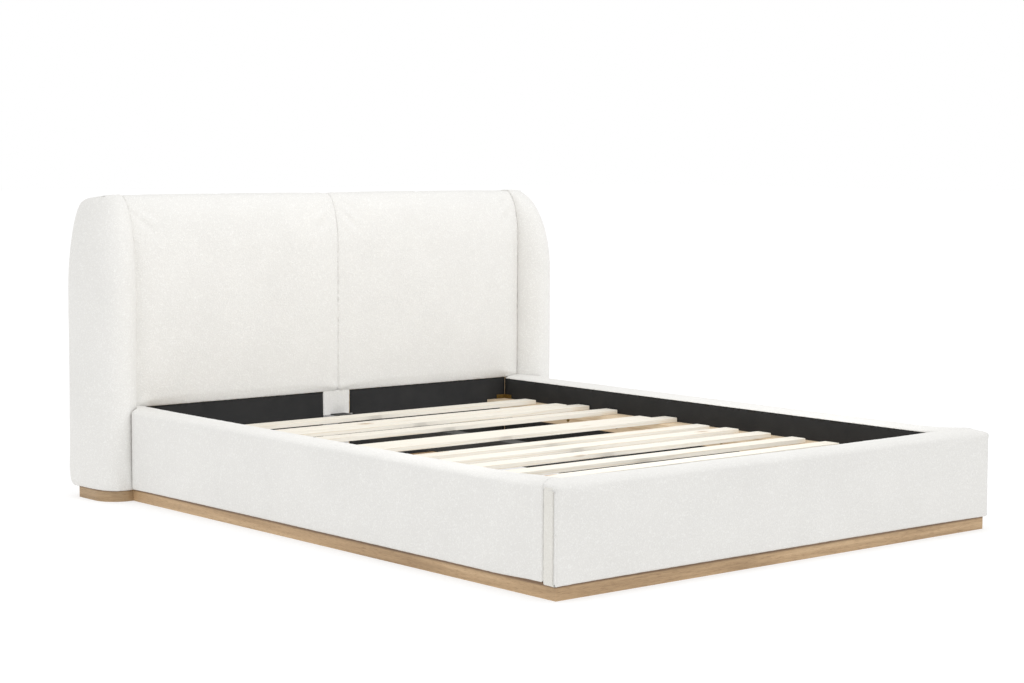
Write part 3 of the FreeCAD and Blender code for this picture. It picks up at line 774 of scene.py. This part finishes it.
def turned_in(ring):
    """The fabric's foot turned up inside itself, to where it meets the top of the plinth."""
    middle = ring.mean(axis=0)
    inner = middle + (ring - middle) * WING_TUCK[0]
    inner[:, 2] = HEM_Z + WING_TUCK[1]
    return inner


def make_wings():
    columns = 2 * count_for(WING_HALF_GIRTH) + 1
    rows = count_for(TOP_Z - HEM_Z + WING_ROUNDING)
    skin = upholstered(wing_surface, rows, columns, WING_SWELL, wing_border)
    skin[-1] = (skin[-1] + skin[-1, ::-1]) / 2
    ridge_top = skin[-2, :, 2].max() + 0.0005
    skin[-1, :, 2] = np.minimum(skin[-1, :, 2], ridge_top)
    skin = np.concatenate([turned_in(skin[0])[None], skin])
    rows, columns = skin.shape[:2]
    faces = quads(rows, columns)
    faces += [(r * columns, (r + 1) * columns, (r + 2) * columns - 1, (r + 1) * columns - 1)
              for r in range(rows - 1)]
    faces.append(tuple(reversed(range(columns))))
    for side, sign in (("right", 1), ("left", -1)):
        points = (skin * np.array([sign, 1, 1])).reshape(-1, 3)
        outward = faces if sign > 0 else [face[::-1] for face in faces]
        obj = piece(f"headboard_wing_{side}_fabric", points, outward, boucle)
        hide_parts(f"headboard_wing_{side}")


# ---- rails

def mitre_y(x):
    """The seam across a foot corner, from the recess's corner to the end of the side rail."""
    share = np.clip((np.abs(x) - rail_low.x) / (rail_high.x - rail_low.x), 0, 1)
    return foot_high.y + share * (strip_high.y - foot_high.y)


def rail_top(x, y):
    """Height of the rails' padded top, rolled down to both sides and round the corners."""
    into_side = np.abs(x) - rail_low.x
    into_foot = foot_high.y - y
    inside = np.where(into_side < 0, into_foot,
                      np.where(into_foot < 0, into_side, np.hypot(into_side, into_foot)))
    outside = np.hypot(fall(rail_high.x - np.abs(x), *RAIL_ROLL, RAIL_BOX),
                       fall(y - foot_low.y, *RAIL_ROLL, RAIL_BOX))
    rise = FOOT_RISE * ease((foot_high.y + RISE_END - y) / RISE_LENGTH)
    return RAIL_TOP + rise - outside - fall(inside, *RAIL_INNER_ROLL)


def rail_end_y(x):
    """Where a side rail stops at the headboard: at the lining, or at the wing's round front."""
    inside = np.clip((SEAM_X + WING_INSIDE - x) / WING_INSIDE, 0, 1)
    seam_y = pad_low.y + PAD_DIP
    on_wing = seam_y - (seam_y - wing_low.y) * np.sqrt(1 - inside ** 2)
    return np.where(x > SEAM_X, on_wing + HEAD_FIT, LINING_Y - HEAD_FIT)


def seam_depth(z):
    """1 on the rails' upright faces, 0 on their padded top, where the seams close up."""
    return 1 - ease((z - (RAIL_TOP - SEAM_TOP[0])) / SEAM_TOP[1])


def shares_over(count):
    """Shares from 0 to 1, close together at both ends."""
    return (1 - np.cos(np.linspace(0, math.pi, count))) / 2


def side_rail_outline():
    """A side rail's cover in the XZ plane: hem, outer side, top and inner edge."""
    outer, inner = rail_high.x, rail_low.x
    x = outer + shares_over(60) * (inner - outer)
    top = np.stack([x, rail_top(x, 0.0)], 1)
    return outline(
        (side_plinth_high.x + HEM_GAP[0], HEM_Z),
        (side_plinth_high.x + HEM_GAP[1], HEM_Z - HANG),
        quarter((outer - RAIL_HEM, HEM_Z - HANG + RAIL_HEM), RAIL_HEM, RAIL_HEM, 270, 360),
        top,
        (inner, top[-1, 1] - TUCK),
    )


def side_rail_surface(rows, columns):
    line = evenly(side_rail_outline(), columns)
    outward = -outline_normals(line)
    start = mitre_y(line[:, 0])
    end = rail_end_y(line[:, 0])
    share = np.linspace(1, 0, rows)[:, None]
    y = start + share * (end - start)
    corner_seam = fall(y - start, JOINT_WIDTH, JOINT_DIP) * seam_depth(line[None, :, 1])
    edge = corner_seam + fall(end - y, *HEAD_JOINT)
    across = np.linspace(0, 1, columns)[None]
    crown = RAIL_CROWN * np.sin(math.pi * across) * np.sin(math.pi * share) ** 0.3
    lift = crown - edge
    x = line[None, :, 0] + lift * outward[None, :, 0]
    corner = rail_top(line[None, :, 0], y) - rail_top(line[None, :, 0], 0.0)
    z = line[None, :, 1] + lift * outward[None, :, 1] + corner
    return np.stack([x, y, z], 2)


def make_side_rails():
    rows = count_for(rail_high.y - rail_low.y)
    columns = count_for(length_of(side_rail_outline()))
    skin = upholstered(side_rail_surface, rows, columns, RAIL_SWELL)
    inner = [(side_core_high.x, HEM_Z), (side_core_high.x, side_core_high.z),
             (rail_low.x, side_core_high.z)]
    both("side_rail_cover", skin, constant_lines(skin, inner, (0, 2)), boucle)


def foot_rail_outline(x):
    """The foot rail's cover in the YZ plane at a place along it."""
    front, back = foot_low.y, float(mitre_y(x))
    y = front + shares_over(60) * (back - front)
    top = np.stack([y, rail_top(x, y)], 1)
    return outline(
        (foot_plinth_low.y - HEM_GAP[0], HEM_Z),
        (foot_plinth_low.y - HEM_GAP[1], HEM_Z - HANG),
        quarter((front + RAIL_HEM, HEM_Z - HANG + RAIL_HEM), RAIL_HEM, RAIL_HEM, 270, 180),
        top,
        (back, top[-1, 1] - TUCK),
    )


def foot_rail_surface(rows, columns):
    x = np.linspace(rail_high.x, -rail_high.x, rows)
    across = np.linspace(0, 1, columns)
    grid = np.zeros((rows, columns, 3))
    for index, place in enumerate(x):
        line = evenly(foot_rail_outline(place), columns)
        outward = outline_normals(line)
        from_end = rail_high.x - abs(place)
        crown = RAIL_CROWN * np.sin(math.pi * across) * min(1, from_end / 0.2)
        arris = fall(from_end, JOINT_WIDTH, ARRIS_DIP) * seam_depth(line[:, 1])
        lift = crown - arris
        grid[index, :, 0] = place
        grid[index, :, 1] = line[:, 0] + lift * outward[:, 0]
        grid[index, :, 2] = line[:, 1] + lift * outward[:, 1]
    return grid


def make_foot_rail():
    columns = count_for(length_of(foot_rail_outline(0.0)))
    rows = count_for(2 * rail_high.x)
    skin = upholstered(foot_rail_surface, rows, columns, RAIL_SWELL)
    core_top = foot_core_high.z
    lines = constant_lines(skin, [(foot_core_low.y, HEM_Z), (foot_core_low.y, core_top),
                                  (foot_high.y, core_top)], (1, 2))
    end = rail_high.x - STRIP_LIFT
    lines[:, :, 0] = np.clip(skin[:, :1, 0], -end, end)
    lines[[0, -1], :2, 1] = strip_low.y + STRIP_START - CLEAR
    back = mitre_y(lines[:, 2, 0])
    lines[:, 2, 1] = back
    lines[:, 1:, 2] = np.minimum(core_top, rail_top(lines[:, 2, 0], back) - UNDER_TOP)[:, None]
    obj = piece("foot_rail_cover_fabric", *closed(skin, lines), boucle)
    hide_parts("foot_rail_cover")


def corner_strip_surface(rows, columns):
    """A narrow fabric panel on the end of the foot rail, between two upright seams."""
    low, high = strip_low.y + STRIP_START, strip_high.y - STRIP_END
    outer = strip_high.x
    line = evenly(outline(
        (outer - STRIP_LIFT, low),
        quarter((outer - STRIP_EDGE, low + STRIP_EDGE), STRIP_EDGE, STRIP_EDGE, 270, 360),
        quarter((outer - STRIP_EDGE, high - STRIP_EDGE), STRIP_EDGE, STRIP_EDGE, 0, 90),
        (outer - STRIP_LIFT, high),
    ), columns)
    foot = HEM_Z - HANG + 0.0005
    top = rail_top(outer, line[:, 1]) + STRIP_RISE
    share = np.linspace(0, 1, rows)[:, None]
    z = foot + share * (top - foot)
    tuck = fall(z - foot, RAIL_HEM, RAIL_HEM * 0.6) + fall(top - z, 0.003, 0.002)
    outward = -outline_normals(line)
    x = line[None, :, 0] - tuck * np.clip(outward[None, :, 0], 0, 1)
    y = np.broadcast_to(line[None, :, 1], x.shape)
    return np.stack([x, y, z], 2)


def make_corner_strips():
    rows = 2 * count_for(RAIL_TOP - HEM_Z)
    skin = upholstered(corner_strip_surface, rows, STRIP_COLUMNS, 0.0, pucker=STRIP_PUCKER)
    inner_x = side_plinth_high.x + HEM_GAP[1]
    inner = [(inner_x, strip_low.y + STRIP_START + CLEAR), (inner_x, strip_high.y - STRIP_EDGE)]
    # The corner strips take the darker boucle, painted shade.
    both("foot_corner_strip", skin, constant_lines(skin, inner, (0, 1)), corner_shade_boucle)


# ---- linings and covers

def slab(name, origin, across, outward, flat, thickness, material, nodes,
         ripple=LINING_RIPPLE):
    """An upright sheet with a little slack in it, stretched and stapled along its edges."""
    columns = max(3, round(flat[0] / SHEET_GRID) + 1)
    rows = max(3, round(flat[1] / SHEET_GRID) + 1)
    s = np.linspace(0, flat[0], columns)[None, :, None]
    t = np.linspace(0, flat[1], rows)[:, None, None]
    across, up, outward = (np.array(v, float) for v in (across, (0, 0, 1), outward))
    plane = np.array(origin, float) + s * across + t * up
    from_edge = np.minimum(np.minimum(s, flat[0] - s), np.minimum(t, flat[1] - t))
    slack = ripple * (noise_at(plane, 7, 1.3) + 0.6 * noise_at(plane, 30, 5.9))
    pulls = 0.5 * ripple * noise_at(plane, 70, 2.2) * np.exp(-from_edge / PULLS_REACH)
    fold = fall(from_edge, SHEET_FOLD, thickness * 0.5)
    soft = slack * ease(from_edge / SLACK_AT) + pulls - fold
    skin = plane + soft * outward
    behind = plane[:, [0, -1]] - thickness * outward
    if np.dot(np.cross(across, up), outward) < 0:
        skin, behind = skin[:, ::-1], behind[:, ::-1]
    obj = piece(name, *closed(skin, behind), material)
    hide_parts(*nodes)


def lining(node_name, origin, across, outward, flat):
    slab(f"{node_name}_cloth", origin, across, outward, flat, LINING_THICKNESS, black_lining,
         [node_name])


def face_size(axis, low, high):
    """Length along X or Y, and height, of the node behind a sheet."""
    return high[axis] - low[axis], high.z - low.z


def make_linings():
    head_flat = face_size(0, head_lining_low, head_lining_high)
    side_flat = face_size(1, side_lining_low, side_lining_high)
    for side, sign in (("left", -1), ("right", 1)):
        lining(f"head_lining_{side}", (sign * head_lining_low.x, LINING_Y, HEM_Z),
               (sign, 0, 0), (0, -1, 0), head_flat)
        lining(f"side_rail_lining_{side}", (sign * side_lining_low.x, side_lining_low.y, HEM_Z),
               (0, 1, 0), (-sign, 0, 0), side_flat)
    lining("foot_rail_lining", (foot_lining_low.x, foot_lining_high.y, HEM_Z),
           (1, 0, 0), (0, 1, 0), face_size(0, foot_lining_low, foot_lining_high))


def make_back_cover():
    slab("headboard_back_cover_cloth", (back_low.x, BACK_Y - COVER_INSET, back_low.z),
         (1, 0, 0), (0, 1, 0), face_size(0, back_low, back_high), COVER_THICKNESS, boucle,
         ["headboard_back_cover"], COVER_RIPPLE)


def centre_strip_surface(rows, columns):
    """The boucle between the head linings, a little narrower at its foot, with its seam."""
    left, right = middle_low.x - CENTRE_SHIFT, middle_high.x - CENTRE_SHIFT
    s = np.linspace(-1, 1, columns)
    z = np.linspace(HEM_Z, middle_high.z + CENTRE_RISE, rows)
    taper = 1 - CENTRE_TAPER * (middle_high.z - z) / (middle_high.z - HEM_Z)
    x = (left + right) / 2 + s[None] * (right - left) / 2 * taper[:, None]
    edge = fall(np.abs(np.abs(s) - 1) * (right - left) / 2, *CENTRE_EDGE)
    seam = fall(np.abs(x), *CENTRE_SEAM)
    y = middle_low.y + edge[None] + seam
    return np.stack([x, y, np.broadcast_to(z[:, None], x.shape)], 2)


def make_centre_strip():
    rows = 2 * count_for(RAIL_TOP - HEM_Z) - 1
    skin = upholstered(centre_strip_surface, rows, CENTRE_COLUMNS, 0.0, pucker=CENTRE_PUCKER)
    behind = skin[:, [0, -1]].copy()
    behind[:, :, 1] = board_low.y - 0.0002
    obj = piece("head_centre_strip_fabric", *closed(skin, behind), boucle)
    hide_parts("head_centre_strip")


# ---- timber and hardware

PALE_PINE = (0.89, 0.85, 0.765)
PINE_RING = (0.82, 0.73, 0.59)
TAN_PINE = (0.77, 0.62, 0.44)
TAN_RING = (0.62, 0.45, 0.28)


def slat_material(name, index):
    """Pine with a grain and tone of its own."""
    offset = (0.37 * index, 0.05 + 0.017 * (index % 5), 0.06 - 0.013 * (index % 4))
    tone = 1.0 - 0.02 * (index % 3)
    return softwood_material(f"{name}_pine", PALE_PINE, PINE_RING, offset, tone=tone)


def ease_edges(obj):
    bevel = obj.modifiers.new("eased_edges", "BEVEL")
    bevel.width = 0.0012
    bevel.segments = 2
    bevel.limit_method = "ANGLE"


def finish_nodes():
    """Gives each CAD node that is kept its finish, and eases the boards' edges."""
    yellow = metal_material("yellow_zinc", (0.40, 0.28, 0.09), (0.26, 0.18, 0.07), 0.4)
    zinc = metal_material("zinc_steel", (0.72, 0.72, 0.73), (0.58, 0.59, 0.60), 0.28)
    plastic = plastic_material()
    ledge = softwood_material("ledge_pine", TAN_PINE, TAN_RING, (0.1, 0.11, 0.07), 1)
    timber_x = softwood_material("frame_timber_x", TAN_PINE, TAN_RING, (0.4, 0.09, 0.05))
    timber_y = softwood_material("frame_timber_y", TAN_PINE, TAN_RING, (0.7, 0.12, 0.06), 1)
    timber_z = softwood_material("frame_timber_z", TAN_PINE, TAN_RING, (0.2, 0.08, 0.09), 2)
    # Centre beam and legs in black: painted shade under the slats.
    black_timber = under_slat_shade_material()
    plywood = softwood_material("plywood", (0.70, 0.55, 0.37), (0.60, 0.44, 0.27),
                                (0.3, 0.4, 0.02), knots=False)
    finishes = {
        "corner_brackets": yellow, "bracket_screws": yellow, "ledge_screws": yellow,
        "hanger_screws": zinc, "beam_hanger": zinc, "levelling_foot": plastic,
        "slat_ledge": ledge, "centre_leg": black_timber, "headboard_post": timber_z,
        "headboard_centre_post": timber_z, "headboard_front_board": plywood,
        "headboard_back_board": plywood, "side_rail_core": timber_y,
        "centre_beam": black_timber, "foot_rail_core": timber_x, "headboard_": timber_x,
    }
    for index, (name, obj) in enumerate(sorted(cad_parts.items())):
        if obj.hide_render:
            continue
        # The plinth blocks under the wings take the darker oak, painted shade.
        if name in ("headboard_plinth_left", "headboard_plinth_right"):
            material = shaded_oak
        elif "plinth" in name:
            material = oak
        elif name.startswith("slat_") and "ledge" not in name:
            material = slat_material(name, index)
        else:
            key = max((k for k in finishes if name.startswith(k)), key=len)
            material = finishes[key]
        obj.data.materials.clear()
        obj.data.materials.append(material)
        if "plinth" in name or "core" in name or "post" in name:
            ease_edges(obj)


# ---- studio

CAMERA_PLACE = (-4.6443, -5.3848, 1.1723)
CAMERA_TURNS = (40.504, -5.084, 0.331)  # yaw, pitch and roll in degrees
CAMERA_LENS = 79.03

FLOOR_HALF = 40.0
FLOOR_GREY = 0.5
FLOOR_GLOW = 0.55

# Name, place, target, size and watts of each lamp.
LAMPS = (
    ("overhead", (0, -0.9, 2.7), (0, 0.95, 0.50), (2.2, 0.7), 13),
    ("front", (0, -1.0, 1.0), (0, 0.98, 0.45), (1.6, 0.3), 4.5),
)


def make_camera():
    yaw, pitch, roll = (math.radians(angle) for angle in CAMERA_TURNS)
    ahead = Vector((math.sin(yaw) * math.cos(pitch), math.cos(yaw) * math.cos(pitch),
                    math.sin(pitch)))
    right = Vector((math.cos(yaw), -math.sin(yaw), 0))
    up = right.cross(ahead)
    tilted_right = math.cos(roll) * right + math.sin(roll) * up
    tilted_up = -math.sin(roll) * right + math.cos(roll) * up
    data = bpy.data.cameras.new("camera")
    data.sensor_width = 36
    data.lens = CAMERA_LENS
    camera = bpy.data.objects.new("camera", data)
    turn = Matrix((tilted_right, tilted_up, -ahead)).transposed()
    camera.matrix_world = Matrix.Translation(CAMERA_PLACE) @ turn.to_4x4()
    bpy.context.scene.collection.objects.link(camera)
    bpy.context.scene.camera = camera


def area_light(name, place, target, size, power):
    data = bpy.data.lights.new(name, "AREA")
    data.shape = "RECTANGLE"
    data.size, data.size_y = size
    data.energy = power
    light = bpy.data.objects.new(name, data)
    light.visible_camera = False
    light.location = place
    aim = Vector(target) - Vector(place)
    light.rotation_mode = "QUATERNION"
    light.rotation_quaternion = aim.to_track_quat("-Z", "Y")
    bpy.context.scene.collection.objects.link(light)


def make_floor():
    half = FLOOR_HALF
    mesh = bpy.data.meshes.new("floor")
    mesh.from_pydata([(-half, -half, 0), (half, -half, 0), (half, half, 0), (-half, half, 0)],
                     [], [(0, 1, 2, 3)])
    floor = bpy.data.objects.new("floor", mesh)
    bpy.context.scene.collection.objects.link(floor)
    material, _, shader = new_material("studio_floor")
    shader.inputs["Base Color"].default_value = (FLOOR_GREY, FLOOR_GREY, FLOOR_GREY, 1)
    shader.inputs["Roughness"].default_value = 1.0
    shader.inputs["Specular IOR Level"].default_value = 0.0
    shader.inputs["Emission Color"].default_value = (1, 1, 1, 1)
    shader.inputs["Emission Strength"].default_value = FLOOR_GLOW
    mesh.materials.append(material)


def make_studio():
    scene = bpy.context.scene
    scene.view_settings.view_transform = "Standard"
    world = bpy.data.worlds.new("studio")
    world.use_nodes = True
    background = world.node_tree.nodes["Background"]
    background.inputs["Color"].default_value = (1, 1, 1, 1)
    background.inputs["Strength"].default_value = 1.0
    scene.world = world
    make_floor()
    for lamp in LAMPS:
        area_light(*lamp)


make_camera()
make_studio()
make_pads()
make_wings()
make_side_rails()
make_foot_rail()
make_corner_strips()
make_centre_strip()
make_linings()
make_back_cover()
finish_nodes()
